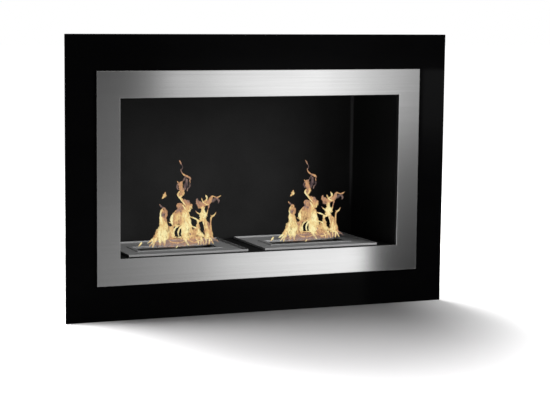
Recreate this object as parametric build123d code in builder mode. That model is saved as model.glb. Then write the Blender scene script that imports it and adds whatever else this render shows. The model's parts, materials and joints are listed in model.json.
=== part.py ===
from build123d import *
import os

os.makedirs("parts", exist_ok=True)

# Wall-hung bioethanol fireplace with two lift-out burners, in millimetres.
# +Z is up, the front faces -Y, and +X is to the right as seen from the front.
# The origin lies on the wall, in the middle of the wall bracket's four screw holes.

# ---------------------------------------------------------------- glass front and steel trim
panel_width = 900.0
panel_height = 617.0
glass_thickness = 4.0
glass_edge_chamfer = 0.8
glass_corner_radius = 1.5
trim_side_margin = 67.7  # black glass that shows left and right of the trim
trim_end_margin = 78.1  # black glass that shows above and below the trim
trim_side_bar = 51.6
trim_end_bar = 57.9
trim_depth = 6.5
trim_sheet = 1.5
trim_edge_radius = 0.8

# ---------------------------------------------------------------- housing
hearth_depth = 238.0  # from the front of the glass to the back of the hearth
casing_sheet = 1.5
liner_sheet = 1.2
bend_radius = 1.0  # inside radius of every fold
air_gap = 8.0  # between the hot liner and the casing, on all sides
standoff = 12.0  # from the casing to the wall
ceiling_rise = 5.0  # the ceiling lies this far above the opening
collar_reveal = 1.5  # the collar stands back from the trim's opening by this much
collar_rim = 6.5  # collar beyond the line of studs
glass_play = 1.0  # all round the collar
stud_room = 8.5  # from the casing's wall to the line of studs
front_flange = 34.0
liner_lip = 6.0
back_flange = 14.0
liner_return = 12.0  # of the liner's sides, behind its back
pan_sheet = 1.5
ledge_width = 8.0  # of the bars that the hearth's floor lies on
ledge_height = 12.0
ledge_joint = 0.3  # open seam between two bars that meet
vent_length = 60.0
vent_width = 6.0
vent_pitch = 78.0
vent_count = 7
vent_setback = 45.0  # from the casing's back to the line of vents

# ---------------------------------------------------------------- fasteners
fastener_side_count = 10  # flats that draw a small round fastener or its hole
stud_radius = 2.5
stud_hole_play = 0.3
stud_thread_end = 1.5  # stud past its nut
nut_flats = 8.0
nut_height = 5.0
nut_bore_play = 0.05
stud_pitch_x = 270.0
stud_column_count = 3
rivet_radius = 1.6
rivet_head_radius = 3.2
rivet_head = 1.0
rivet_play = 0.1
spacer_radius = 5.0
spacer_column_count = 3
spacer_end_margin = 50.7  # from the hearth's side to the outer spacers
spacer_foot_rise = 56.5  # from the hearth's floor to the lower spacers
spacer_rail_drop = 24.5  # from the hook's top to the upper spacers
side_rivet_count = 3
side_rivet_pitch = 180.0
end_rivet_count = 3
end_rivet_pitch = 280.0

# ---------------------------------------------------------------- hanging parts
bracket_drop = 202.0  # from the top of the glass to the bracket's holes
bracket_sheet = 2.0
bracket_length = 440.0
bracket_plate = 50.0
bracket_hole_radius = 3.25
bracket_hole_pitch_x = 360.0
bracket_hole_pitch_z = 24.0
hook_height = 14.0
hook_play = 1.3  # behind the bracket's lip
hook_end_gap = 0.6  # below the hook
bracket_lip_reach = 8.5  # from the wall to the front of the bracket's lip
rail_length = 500.0
rail_flange = 26.0
rail_rivet_pitch = 150.0
rail_rivet_count = 4
foot_spacer_length = 400.0
foot_spacer_flange = 20.0
foot_spacer_rise = 8.0  # from the casing's foot to the spacer's web
foot_tab_drop = 30.0
foot_rivet_count = 2
foot_hole_radius = 2.75
foot_hole_count = 2
foot_hole_pitch = 300.0
foot_hole_rise = 9.0  # from the tab's lower edge to its holes

# ---------------------------------------------------------------- burners
plate_side_gap = 31.2  # from the opening's side to the nearer plate
plate_gap = 40.6  # between the two plates
plate_setback = 31.3  # from the front of the glass to the plates
plate_back_gap = 9.7  # from the plates to the back of the hearth
plate_drop = 1.6  # the plates lie this far below the trim's opening
rim_rise = 3.2
burner_sheet = 1.2
seat_gap = 0.3
land_width = 7.0  # of the plate's edge on the floor pan
slot_end_margin = 48.6  # of the plate, left and right of the slot
slot_corner_radius = 1.0
slot_frame_width = 10.0
slot_frame_thickness = 1.2
mitre_seam = 0.2  # between two strips of the slot's frame
tank_end_room = 27.0  # past the slot, left and right
tank_side_room = 12.0  # past the slot, front and back
tank_height = 55.0
tank_sheet = 1.0
tank_lip = 8.0
tank_corner_radius = 6.0
fibre_height = 36.0
fibre_play = 0.5
grid_sheet = 1.0
grid_hole = 10.0
grid_pitch = 16.0
grid_edge = 5.0  # least width of the grid outside its holes
shutter_sheet = 1.5
shutter_play = 0.4
shutter_side_lap = 8.0
shutter_back_lap = 3.0
shutter_reveal = 3.0  # part of the slot that the open shutter still covers
shutter_front_gap = 1.0  # left at the slot's front edge when it is closed
shutter_end_gap = 2.5  # from the open shutter to the edge of the floor's cut-out
tab_width = 60.0
tab_height = 7.0
tab_corner_radius = 3.0
guide_lip = 6.0
guide_sheet = 1.2
guide_end_gap = 1.0

# ---------------------------------------------------------------- spill tray
tray_sheet = 1.0
tray_clear = 8.0  # between the tanks and the tray's floor
tray_wall = 14.0
tray_margin = 10.0

# ---------------------------------------------------------------- places across the width
opening_width = panel_width - 2 * (trim_side_margin + trim_side_bar)
trim_width = panel_width - 2 * trim_side_margin
liner_inner_x = opening_width / 2
liner_outer_x = liner_inner_x + liner_sheet
casing_inner_x = liner_outer_x + air_gap
casing_outer_x = casing_inner_x + casing_sheet
stud_x = casing_outer_x + stud_room
collar_outer_x = stud_x + collar_rim
collar_inner_x = liner_inner_x + collar_reveal
glass_cut_x = collar_outer_x + glass_play
flange_edge_x = casing_outer_x + front_flange
plate_width = (opening_width - plate_gap) / 2 - plate_side_gap
burner_x = (plate_gap + plate_width) / 2
slot_length = plate_width - 2 * slot_end_margin
tank_length = slot_length + 2 * tank_end_room
fibre_length = tank_length - 2 * (tank_sheet + fibre_play)

# ---------------------------------------------------------------- places up the height
panel_top_z = bracket_drop
panel_foot_z = panel_top_z - panel_height
panel_mid_z = (panel_foot_z + panel_top_z) / 2
trim_height = panel_height - 2 * trim_end_margin
opening_height = trim_height - 2 * trim_end_bar
opening_foot_z = panel_mid_z - opening_height / 2
opening_top_z = panel_mid_z + opening_height / 2
ceiling_z = opening_top_z + ceiling_rise
liner_top_z = ceiling_z + air_gap
casing_top_inner_z = ceiling_z + liner_sheet + air_gap
casing_top_z = casing_top_inner_z + casing_sheet
stud_top_z = casing_top_z + stud_room
collar_half_height = stud_top_z + collar_rim - panel_mid_z
flange_top_z = casing_top_z + front_flange
plate_top_z = opening_foot_z - plate_drop
plate_under_z = plate_top_z - burner_sheet
pan_top_z = plate_under_z - seat_gap
pan_under_z = pan_top_z - pan_sheet
ledge_foot_z = pan_under_z - ledge_height
tank_foot_z = plate_under_z - tank_height
tray_floor_z = tank_foot_z - tray_clear
casing_foot_inner_z = tray_floor_z - tray_sheet
casing_foot_z = casing_foot_inner_z - casing_sheet
shutter_top_z = plate_under_z - shutter_play
shutter_foot_z = shutter_top_z - shutter_sheet
guide_top_z = shutter_foot_z - shutter_play
guide_foot_z = guide_top_z - guide_sheet
fibre_foot_z = tank_foot_z + tank_sheet
fibre_top_z = fibre_foot_z + fibre_height

# ---------------------------------------------------------------- places through the depth
casing_back_y = -standoff
casing_back_inner_y = casing_back_y - casing_sheet
liner_back_y = casing_back_inner_y - air_gap - liner_sheet
glass_front_y = liner_back_y - hearth_depth
glass_back_y = glass_front_y + glass_thickness
trim_front_y = glass_front_y - trim_depth
plate_depth = hearth_depth - plate_setback - plate_back_gap
plate_front_y = glass_front_y + plate_setback
plate_mid_y = plate_front_y + plate_depth / 2
plate_back_y = plate_front_y + plate_depth
# The open shutter lies between the slot and the plate's land, and covers the slot when
# it is pulled, so half the plate is shared by one and a half widths of the slot.
shutter_room = plate_depth / 2 - land_width - shutter_end_gap
slot_width = 2 / 3 * (shutter_room + shutter_reveal + shutter_front_gap - shutter_back_lap)
slot_back_y = plate_mid_y + slot_width / 2
shutter_depth = slot_width - shutter_front_gap + shutter_back_lap
shutter_open_y = slot_back_y - shutter_reveal
shutter_travel = slot_width - shutter_reveal - shutter_front_gap
tank_width = slot_width + 2 * tank_side_room
tank_back_y = plate_mid_y + tank_width / 2
fibre_width = tank_width - 2 * (tank_sheet + fibre_play)

# ---------------------------------------------------------------- what the studs pass through
stud_hole_radius = stud_radius + stud_hole_play
flange_back_y = glass_back_y + casing_sheet
stud_end_y = flange_back_y + nut_height + stud_thread_end


def front_plane(y):
    """A plane at depth y that faces the front, with x to the right and z up."""
    return Plane.XZ.offset(-y)


def rear_plane(y):
    """A plane at depth y that faces the wall, with x to the left and z up."""
    return Plane(origin=(0, y, 0), x_dir=(-1, 0, 0), z_dir=(0, 1, 0))


def row(count, pitch):
    """Positions along a line, evenly spaced about its middle."""
    return [(number - (count - 1) / 2) * pitch for number in range(count)]


def circles(plane, places, radius):
    """A sketch of equal circles at the given places on a plane."""
    with BuildSketch(plane) as sketch:
        with Locations(*places):
            Circle(radius)
    return sketch.sketch


def rounds(plane, places, radius):
    """The same for rivets, studs and their holes: circles drawn with a few flats."""
    with BuildSketch(plane) as sketch:
        with Locations(*places):
            RegularPolygon(radius, fastener_side_count)
    return sketch.sketch


def bend_radii(points, thickness, side):
    """Path radius at each fold, so that the inside radius is the same on every one."""
    radii = []
    for before, corner, after in zip(points, points[1:], points[2:]):
        first = Vector(*corner) - Vector(*before)
        second = Vector(*after) - Vector(*corner)
        turns_left = first.cross(second).Z > 0
        inside = turns_left == (side == Side.LEFT)
        radii.append(bend_radius + (thickness if inside else 0))
    return radii


def fold(plane, points, thickness, side):
    """The cross-section of a sheet folded along a path, with the metal on one side of it."""
    with BuildSketch(plane) as section:
        with BuildLine():
            FilletPolyline(*points, radius=bend_radii(points, thickness, side))
            offset(amount=thickness, side=side)
        make_face()
    return section.sketch


def save(piece, name):
    """Label a finished piece and write it to its own file."""
    piece.part.label = name
    export_step(piece.part, f"parts/{name}.step")


# ---------------------------------------------------------------- patterns of fasteners
stud_foot_z = 2 * panel_mid_z - stud_top_z
stud_row_x = row(stud_column_count, stud_pitch_x)
stud_places = [(x, z) for x in stud_row_x for z in (stud_foot_z, stud_top_z)]
stud_places += [(-stud_x, panel_mid_z), (stud_x, panel_mid_z)]

casing_height = casing_top_z - casing_foot_z
casing_mid_z = (casing_top_z + casing_foot_z) / 2
back_rivet_y = casing_back_y - back_flange / 2
side_rivet_places = [(back_rivet_y, casing_mid_z + z) for z in row(side_rivet_count, side_rivet_pitch)]
end_rivet_places = [(x, back_rivet_y) for x in row(end_rivet_count, end_rivet_pitch)]

lip_top_z = bracket_plate / 2 + hook_height
spacer_heights = [pan_top_z + spacer_foot_rise, lip_top_z - spacer_rail_drop]
spacer_pitch = 2 * (liner_inner_x - spacer_end_margin) / (spacer_column_count - 1)
spacer_row_x = row(spacer_column_count, spacer_pitch)
spacer_places = [(x, z) for x in spacer_row_x for z in spacer_heights]

rail_rivet_z = lip_top_z + bracket_sheet + rail_flange / 2
rail_rivet_places = [(x, rail_rivet_z) for x in row(rail_rivet_count, rail_rivet_pitch)]
foot_web_z = casing_foot_z + foot_spacer_rise
foot_rivet_z = foot_web_z + casing_sheet + foot_spacer_flange / 2
foot_rivet_places = [(x, foot_rivet_z) for x in row(foot_rivet_count, rail_rivet_pitch)]
rivet_hole_radius = rivet_radius + rivet_play

# ================================================================ glass front
with BuildPart() as glass_front:
    with BuildSketch(front_plane(glass_back_y)):
        with Locations((0, panel_mid_z)):
            RectangleRounded(panel_width, panel_height, glass_corner_radius)
            Rectangle(2 * glass_cut_x, 2 * (collar_half_height + glass_play), mode=Mode.SUBTRACT)
    extrude(amount=glass_thickness)
    front_face = glass_front.faces().sort_by(Axis.Y)[0]
    chamfer(front_face.outer_wire().edges(), glass_edge_chamfer)
save(glass_front, "glass_front")

# ================================================================ brushed trim frame
# A frame of folded sheet: a flat front with a return on its outer and inner edges.
with BuildPart() as trim_frame:
    with BuildSketch(front_plane(glass_front_y)):
        with Locations((0, panel_mid_z)):
            Rectangle(trim_width, trim_height)
            Rectangle(opening_width, opening_height, mode=Mode.SUBTRACT)
    extrude(amount=trim_depth)
    front_face = trim_frame.faces().sort_by(Axis.Y)[0]
    fillet(front_face.outer_wire().edges(), trim_edge_radius)
    front_face = trim_frame.faces().sort_by(Axis.Y)[0]
    fillet(front_face.inner_wires()[0].edges(), trim_edge_radius)
    with BuildSketch(front_plane(glass_front_y)):
        with Locations((0, panel_mid_z)):
            Rectangle(trim_width - 2 * trim_sheet, trim_height - 2 * trim_sheet)
            Rectangle(
                opening_width + 2 * trim_sheet,
                opening_height + 2 * trim_sheet,
                mode=Mode.SUBTRACT,
            )
    extrude(amount=trim_depth - trim_sheet, mode=Mode.SUBTRACT)
save(trim_frame, "trim_frame")

# ================================================================ studs and nuts behind the trim
with BuildPart() as trim_studs:
    stud_length = stud_end_y - trim_front_y - trim_sheet
    extrude(rounds(front_plane(stud_end_y), stud_places, stud_radius), amount=stud_length)
save(trim_studs, "trim_studs")

with BuildPart() as trim_nuts:
    with BuildSketch(front_plane(flange_back_y + nut_height)):
        with Locations(*stud_places):
            RegularPolygon(nut_flats / 2, 6, major_radius=False)
            RegularPolygon(stud_radius + nut_bore_play, fastener_side_count, mode=Mode.SUBTRACT)
    extrude(amount=nut_height)
save(trim_nuts, "trim_nuts")

# ================================================================ mouth collar
# The ring that the glass hangs on and that the studs clamp against the casing.
with BuildPart() as mouth_collar:
    with BuildSketch(front_plane(glass_back_y)):
        with Locations((0, panel_mid_z)):
            Rectangle(2 * collar_outer_x, 2 * collar_half_height)
            Rectangle(2 * collar_inner_x, opening_height + 2 * collar_reveal, mode=Mode.SUBTRACT)
        with Locations(*stud_places):
            RegularPolygon(stud_hole_radius, fastener_side_count, mode=Mode.SUBTRACT)
    extrude(amount=glass_thickness)
save(mouth_collar, "mouth_collar")


# ================================================================ casing
casing_side_path = [
    (flange_edge_x, glass_back_y),
    (casing_inner_x, glass_back_y),
    (casing_inner_x, casing_back_inner_y),
]
wall_depth = casing_back_inner_y - flange_back_y - bend_radius
casing_foot_plane = Plane.XY.offset(casing_foot_z)
for name, sign in (("casing_left", -1), ("casing_right", 1)):
    path = [(sign * x, y) for x, y in casing_side_path]
    outside = Side.RIGHT if sign > 0 else Side.LEFT
    section = fold(casing_foot_plane, path, casing_sheet, outside)
    stud_hole = rounds(front_plane(flange_back_y), [(sign * stud_x, panel_mid_z)], stud_hole_radius)
    wall_plane = Plane.YZ.offset(sign * casing_inner_x)
    rivet_holes = rounds(wall_plane, side_rivet_places, rivet_hole_radius)
    with BuildPart() as casing_side:
        extrude(section, amount=flange_top_z - casing_foot_z)
        # The wall stops at the casing's top, and only the front flange runs on.
        with BuildSketch(Plane.XY.offset(casing_top_z)):
            with Locations((sign * casing_outer_x, casing_back_inner_y - wall_depth / 2)):
                Rectangle(2 * casing_sheet, wall_depth)
        extrude(amount=flange_top_z - casing_top_z, mode=Mode.SUBTRACT)
        extrude(stud_hole, amount=casing_sheet, mode=Mode.SUBTRACT)
        extrude(rivet_holes, amount=sign * casing_sheet, mode=Mode.SUBTRACT)
    save(casing_side, name)


def casing_end(path, wall_z, stud_z):
    """Top or bottom of the casing: a folded sheet with vents, rivet holes and stud holes."""
    section = fold(Plane.YZ.offset(-casing_inner_x), path, casing_sheet, Side.LEFT)
    wall_plane = Plane.XY.offset(wall_z)
    rivet_holes = rounds(wall_plane, end_rivet_places, rivet_hole_radius)
    stud_row = [(x, stud_z) for x in stud_row_x]
    stud_holes = rounds(front_plane(flange_back_y), stud_row, stud_hole_radius)
    with BuildPart() as end:
        extrude(section, amount=2 * casing_inner_x)
        with BuildSketch(wall_plane):
            with Locations(*[(x, vent_y) for x in row(vent_count, vent_pitch)]):
                Rectangle(vent_length, vent_width)
        extrude(amount=casing_sheet, mode=Mode.SUBTRACT)
        extrude(rivet_holes, amount=casing_sheet, mode=Mode.SUBTRACT)
        extrude(stud_holes, amount=casing_sheet, mode=Mode.SUBTRACT)
    return end


vent_y = casing_back_y - vent_setback
casing_top_path = [
    (glass_back_y, flange_top_z),
    (glass_back_y, casing_top_inner_z),
    (casing_back_inner_y, casing_top_inner_z),
]
casing_top = casing_end(casing_top_path, casing_top_inner_z, stud_top_z)
save(casing_top, "casing_top")

# The bottom's front flange is the apron below the hearth's floor.
casing_bottom_path = [
    (glass_back_y, ledge_foot_z),
    (glass_back_y, casing_foot_z),
    (casing_back_inner_y, casing_foot_z),
]
casing_bottom = casing_end(casing_bottom_path, casing_foot_z, stud_foot_z)
save(casing_bottom, "casing_bottom")

# A shallow pan that closes the casing, with its flanges outside the other four sheets.
back_holes = spacer_places + rail_rivet_places + foot_rivet_places
end_hole_plane = Plane.XY.offset(casing_mid_z)
with BuildPart() as casing_back:
    with BuildSketch(front_plane(casing_back_y)):
        with Locations((0, casing_mid_z)):
            Rectangle(2 * (casing_outer_x + casing_sheet), casing_height + 2 * casing_sheet)
    extrude(amount=back_flange)
    fillet(casing_back.edges().group_by(Axis.Y)[-1], bend_radius)
    with BuildSketch(front_plane(casing_back_inner_y)):
        with Locations((0, casing_mid_z)):
            Rectangle(2 * casing_outer_x, casing_height)
    extrude(amount=back_flange, mode=Mode.SUBTRACT)
    extrude(
        rounds(front_plane(casing_back_y), back_holes, rivet_hole_radius),
        amount=casing_sheet,
        mode=Mode.SUBTRACT,
    )
    extrude(
        rounds(Plane.YZ, side_rivet_places, rivet_hole_radius),
        amount=casing_outer_x + casing_sheet,
        both=True,
        mode=Mode.SUBTRACT,
    )
    extrude(
        rounds(end_hole_plane, end_rivet_places, rivet_hole_radius),
        amount=casing_height / 2 + casing_sheet,
        both=True,
        mode=Mode.SUBTRACT,
    )
save(casing_back, "casing_back")


def rivets(plane, places, grip):
    """Rivets with their heads on the plane and their shanks going back through the grip."""
    with BuildPart() as group:
        extrude(rounds(plane, places, rivet_head_radius), amount=rivet_head)
        extrude(rounds(plane, places, rivet_radius), amount=-grip)
    return group.part


right_plane = Plane.YZ.offset(casing_outer_x + casing_sheet)
left_plane = Plane(origin=-right_plane.origin, x_dir=(0, 1, 0), z_dir=(-1, 0, 0))
top_plane = Plane.XY.offset(casing_top_z + casing_sheet)
foot_plane = Plane(origin=(0, 0, casing_foot_z - casing_sheet), x_dir=(1, 0, 0), z_dir=(0, 0, -1))
with BuildPart() as casing_rivets:
    add(rivets(right_plane, side_rivet_places, 2 * casing_sheet))
    add(rivets(left_plane, [(y, -z) for y, z in side_rivet_places], 2 * casing_sheet))
    add(rivets(top_plane, end_rivet_places, 2 * casing_sheet))
    add(rivets(foot_plane, [(x, -y) for x, y in end_rivet_places], 2 * casing_sheet))
save(casing_rivets, "casing_rivets")

# ================================================================ hearth liner
liner_side_path = [
    (liner_outer_x + liner_lip, glass_back_y),
    (liner_inner_x, glass_back_y),
    (liner_inner_x, liner_back_y + liner_sheet),
    (liner_inner_x - liner_return, liner_back_y + liner_sheet),
]
for name, sign in (("liner_left", -1), ("liner_right", 1)):
    path = [(sign * x, y) for x, y in liner_side_path]
    outside = Side.RIGHT if sign > 0 else Side.LEFT
    section = fold(Plane.XY.offset(ledge_foot_z), path, liner_sheet, outside)
    with BuildPart() as liner_side:
        extrude(section, amount=liner_top_z - ledge_foot_z)
    save(liner_side, name)

liner_height = liner_top_z - ledge_foot_z
liner_mid_z = (liner_top_z + ledge_foot_z) / 2
with BuildPart() as liner_back:
    with BuildSketch(front_plane(liner_back_y + liner_sheet)):
        with Locations((0, liner_mid_z)):
            Rectangle(2 * (liner_inner_x - bend_radius), liner_height)
    extrude(amount=liner_sheet)
save(liner_back, "liner_back")

liner_depth = liner_back_y - glass_back_y
liner_mid_y = (liner_back_y + glass_back_y) / 2
# The ceiling is a tray with its four flanges turned up into the air gap.
with BuildPart() as liner_ceiling:
    with BuildSketch(Plane.XY.offset(ceiling_z)):
        with Locations((0, liner_mid_y)):
            Rectangle(2 * liner_inner_x, liner_depth)
    extrude(amount=air_gap)
    with BuildSketch(Plane.XY.offset(ceiling_z + liner_sheet)):
        with Locations((0, liner_mid_y)):
            Rectangle(2 * (liner_inner_x - liner_sheet), liner_depth - 2 * liner_sheet)
    extrude(amount=air_gap, mode=Mode.SUBTRACT)
save(liner_ceiling, "liner_ceiling")

# The floor is a flat sheet with a cut-out for each burner, and it lies on four bars.
with BuildPart() as floor_pan:
    with BuildSketch(Plane.XY.offset(pan_under_z)):
        with Locations((0, liner_mid_y)):
            Rectangle(2 * liner_inner_x, liner_depth)
        with Locations((-burner_x, plate_mid_y), (burner_x, plate_mid_y)):
            Rectangle(
                plate_width - 2 * land_width, plate_depth - 2 * land_width, mode=Mode.SUBTRACT
            )
    extrude(amount=pan_sheet)
save(floor_pan, "floor_pan")

# The bars are welded to the liner's walls and, in front, to the apron's upper edge.
with BuildPart() as floor_ledges:
    with BuildSketch(Plane.XY.offset(ledge_foot_z)):
        with Locations((0, glass_back_y + ledge_width / 2), (0, liner_back_y - ledge_width / 2)):
            Rectangle(2 * liner_inner_x, ledge_width)
    extrude(amount=ledge_height)
    with BuildSketch(Plane.XY.offset(ledge_foot_z)):
        ledge_x = liner_inner_x - ledge_width / 2
        with Locations((-ledge_x, liner_mid_y), (ledge_x, liner_mid_y)):
            Rectangle(ledge_width, liner_depth - 2 * (ledge_width + ledge_joint))
    extrude(amount=ledge_height)
save(floor_ledges, "floor_ledges")

with BuildPart() as liner_spacers:
    with BuildSketch(front_plane(casing_back_inner_y)):
        with Locations(*spacer_places):
            RegularPolygon(spacer_radius, fastener_side_count)
            RegularPolygon(rivet_hole_radius, fastener_side_count, mode=Mode.SUBTRACT)
    extrude(amount=air_gap)
save(liner_spacers, "liner_spacers")

with BuildPart() as spacer_rivets:
    add(rivets(rear_plane(casing_back_y), spacer_places, casing_sheet + air_gap))
save(spacer_rivets, "spacer_rivets")

# ================================================================ spill tray under both burners
tray_length = plate_gap + plate_width + tank_length + 2 * tray_margin
tray_width = tank_width + 2 * tray_margin
with BuildPart() as spill_tray:
    with BuildSketch(Plane.XY.offset(casing_foot_inner_z)):
        with Locations((0, plate_mid_y)):
            RectangleRounded(tray_length, tray_width, tank_corner_radius)
    extrude(amount=tray_wall)
    offset(amount=-tray_sheet, openings=spill_tray.faces().sort_by(Axis.Z)[-1])
save(spill_tray, "spill_tray")

# ================================================================ hanging rail, bracket and foot
hook_front_y = -bracket_lip_reach + bracket_sheet + hook_play
rail_path = [
    (casing_back_y, lip_top_z + bracket_sheet + rail_flange),
    (casing_back_y, lip_top_z),
    (hook_front_y, lip_top_z),
    (hook_front_y, lip_top_z - hook_height + hook_end_gap),
]
rail_section = fold(Plane.YZ.offset(-rail_length / 2), rail_path, bracket_sheet, Side.LEFT)
rail_face = casing_back_y + bracket_sheet
with BuildPart() as hanging_rail:
    extrude(rail_section, amount=rail_length)
    extrude(
        rounds(front_plane(rail_face), rail_rivet_places, rivet_hole_radius),
        amount=bracket_sheet,
        mode=Mode.SUBTRACT,
    )
save(hanging_rail, "hanging_rail")

bracket_lip_y = -bracket_lip_reach + bracket_sheet
bracket_path = [
    (0, -bracket_plate / 2),
    (0, bracket_plate / 2),
    (bracket_lip_y, bracket_plate / 2),
    (bracket_lip_y, lip_top_z),
]
bracket_section = fold(
    Plane.YZ.offset(-bracket_length / 2), bracket_path, bracket_sheet, Side.LEFT
)
with BuildPart() as wall_bracket:
    extrude(bracket_section, amount=bracket_length)
    with BuildSketch(Plane.XZ):
        with GridLocations(bracket_hole_pitch_x, bracket_hole_pitch_z, 2, 2):
            Circle(bracket_hole_radius)
    extrude(amount=bracket_sheet, mode=Mode.SUBTRACT)
save(wall_bracket, "wall_bracket")

foot_tab_z = foot_web_z - foot_tab_drop
foot_path = [
    (casing_back_y, foot_web_z + casing_sheet + foot_spacer_flange),
    (casing_back_y, foot_web_z),
    (-casing_sheet, foot_web_z),
    (-casing_sheet, foot_tab_z),
]
foot_section = fold(Plane.YZ.offset(-foot_spacer_length / 2), foot_path, casing_sheet, Side.LEFT)
foot_face = casing_back_y + casing_sheet
foot_holes = [(x, foot_tab_z + foot_hole_rise) for x in row(foot_hole_count, foot_hole_pitch)]
with BuildPart() as foot_spacer:
    extrude(foot_section, amount=foot_spacer_length)
    extrude(
        rounds(front_plane(foot_face), foot_rivet_places, rivet_hole_radius),
        amount=casing_sheet,
        mode=Mode.SUBTRACT,
    )
    extrude(
        circles(Plane.XZ, foot_holes, foot_hole_radius), amount=casing_sheet, mode=Mode.SUBTRACT
    )
save(foot_spacer, "foot_spacer")

with BuildPart() as rail_rivets:
    add(rivets(rear_plane(rail_face), rail_rivet_places, bracket_sheet + casing_sheet))
    add(rivets(rear_plane(foot_face), foot_rivet_places, 2 * casing_sheet))
save(rail_rivets, "rail_rivets")

# ================================================================ burners
for side_name, burner_mid_x in (("left", -burner_x), ("right", burner_x)):
    # Top plate: a shallow tray with a low rim all round and the flame slot in its middle.
    with BuildPart() as burner_plate:
        with BuildSketch(Plane.XY.offset(plate_under_z)):
            with Locations((burner_mid_x, plate_mid_y)):
                Rectangle(plate_width, plate_depth)
        extrude(amount=burner_sheet + rim_rise)
        with BuildSketch(Plane.XY.offset(plate_top_z)):
            with Locations((burner_mid_x, plate_mid_y)):
                Rectangle(plate_width - 2 * burner_sheet, plate_depth - 2 * burner_sheet)
        extrude(amount=rim_rise, mode=Mode.SUBTRACT)
        with BuildSketch(Plane.XY.offset(plate_under_z)):
            with Locations((burner_mid_x, plate_mid_y)):
                RectangleRounded(slot_length, slot_width, slot_corner_radius)
        extrude(amount=burner_sheet, mode=Mode.SUBTRACT)
    save(burner_plate, f"burner_plate_{side_name}")

    # Four flat strips, mitred and welded round the slot.
    mitre_x = (slot_length + slot_frame_width) / 2
    mitre_y = (slot_width + slot_frame_width) / 2
    with BuildPart() as slot_frame:
        with BuildSketch(Plane.XY.offset(plate_top_z)):
            with Locations((burner_mid_x, plate_mid_y)):
                Rectangle(slot_length + 2 * slot_frame_width, slot_width + 2 * slot_frame_width)
                Rectangle(slot_length, slot_width, mode=Mode.SUBTRACT)
                for turn, corners in ((45, ((1, 1), (-1, -1))), (-45, ((1, -1), (-1, 1)))):
                    with Locations(*[(x * mitre_x, y * mitre_y) for x, y in corners]):
                        Rectangle(
                            2 * slot_frame_width, mitre_seam, rotation=turn, mode=Mode.SUBTRACT
                        )
        extrude(amount=slot_frame_thickness)
    save(slot_frame, f"slot_frame_{side_name}")

    # Fuel tank: a deep box with a lip on three sides and a lower back wall, over which
    # the shutter and its guides run.
    with BuildPart() as fuel_tank:
        with BuildSketch(Plane.XY.offset(tank_foot_z)):
            with Locations((burner_mid_x, plate_mid_y)):
                RectangleRounded(tank_length, tank_width, tank_corner_radius)
        extrude(amount=tank_height)
        offset(amount=-tank_sheet, openings=fuel_tank.faces().sort_by(Axis.Z)[-1])
        with BuildSketch(Plane.XY.offset(plate_under_z - tank_sheet)):
            with Locations((burner_mid_x, plate_mid_y)):
                RectangleRounded(
                    tank_length + 2 * tank_lip, tank_width + 2 * tank_lip, tank_corner_radius
                )
                RectangleRounded(
                    tank_length - tank_sheet,
                    tank_width - tank_sheet,
                    tank_corner_radius - tank_sheet / 2,
                    mode=Mode.SUBTRACT,
                )
        extrude(amount=tank_sheet)
        with BuildSketch(Plane.XY.offset(guide_foot_z - guide_end_gap)):
            with Locations((burner_mid_x, tank_back_y)):
                Rectangle(tank_length + 2 * tank_lip, 2 * (tank_corner_radius + tank_lip))
        extrude(amount=plate_under_z - guide_foot_z + guide_end_gap, mode=Mode.SUBTRACT)
    save(fuel_tank, f"fuel_tank_{side_name}")

    # Ceramic fibre that soaks up the fuel.
    with BuildPart() as fibre_pad:
        with BuildSketch(Plane.XY.offset(fibre_foot_z)):
            with Locations((burner_mid_x, plate_mid_y)):
                RectangleRounded(fibre_length, fibre_width, tank_corner_radius - tank_sheet)
        extrude(amount=fibre_height)
    save(fibre_pad, f"fibre_pad_{side_name}")

    # Perforated sheet that holds the fibre down.
    grid_room_x = fibre_length - 2 * grid_edge - grid_hole
    grid_room_y = fibre_width - 2 * grid_edge - grid_hole
    grid_columns = 1 + int(grid_room_x / grid_pitch)
    grid_rows = 1 + int(grid_room_y / grid_pitch)
    with BuildPart() as fibre_grid:
        with BuildSketch(Plane.XY.offset(fibre_top_z)):
            with Locations((burner_mid_x, plate_mid_y)):
                RectangleRounded(fibre_length, fibre_width, tank_corner_radius - tank_sheet)
                with GridLocations(grid_pitch, grid_pitch, grid_columns, grid_rows):
                    Rectangle(grid_hole, grid_hole, mode=Mode.SUBTRACT)
        extrude(amount=grid_sheet)
    save(fibre_grid, f"fibre_grid_{side_name}")

    # Two angle guides under the plate, one at each end of the slot.
    guide_x = slot_length / 2 + shutter_side_lap + shutter_play
    guide_start_y = shutter_open_y - shutter_travel - guide_end_gap
    guide_end_y = plate_back_y - land_width - guide_end_gap
    guide_plane = Plane(
        (burner_mid_x, guide_end_y, 0), x_dir=(1, 0, 0), z_dir=(0, -1, 0)
    )
    with BuildPart() as shutter_guides:
        with BuildSketch(guide_plane):
            for sign in (-1, 1):
                with BuildLine():
                    Polyline(
                        (sign * guide_x, plate_under_z),
                        (sign * guide_x, guide_top_z),
                        (sign * (guide_x - guide_lip), guide_top_z),
                        (sign * (guide_x - guide_lip), guide_foot_z),
                        (sign * (guide_x + guide_sheet), guide_foot_z),
                        (sign * (guide_x + guide_sheet), plate_under_z),
                        close=True,
                    )
                make_face()
        extrude(amount=guide_end_y - guide_start_y)
    save(shutter_guides, f"shutter_guides_{side_name}")

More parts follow.
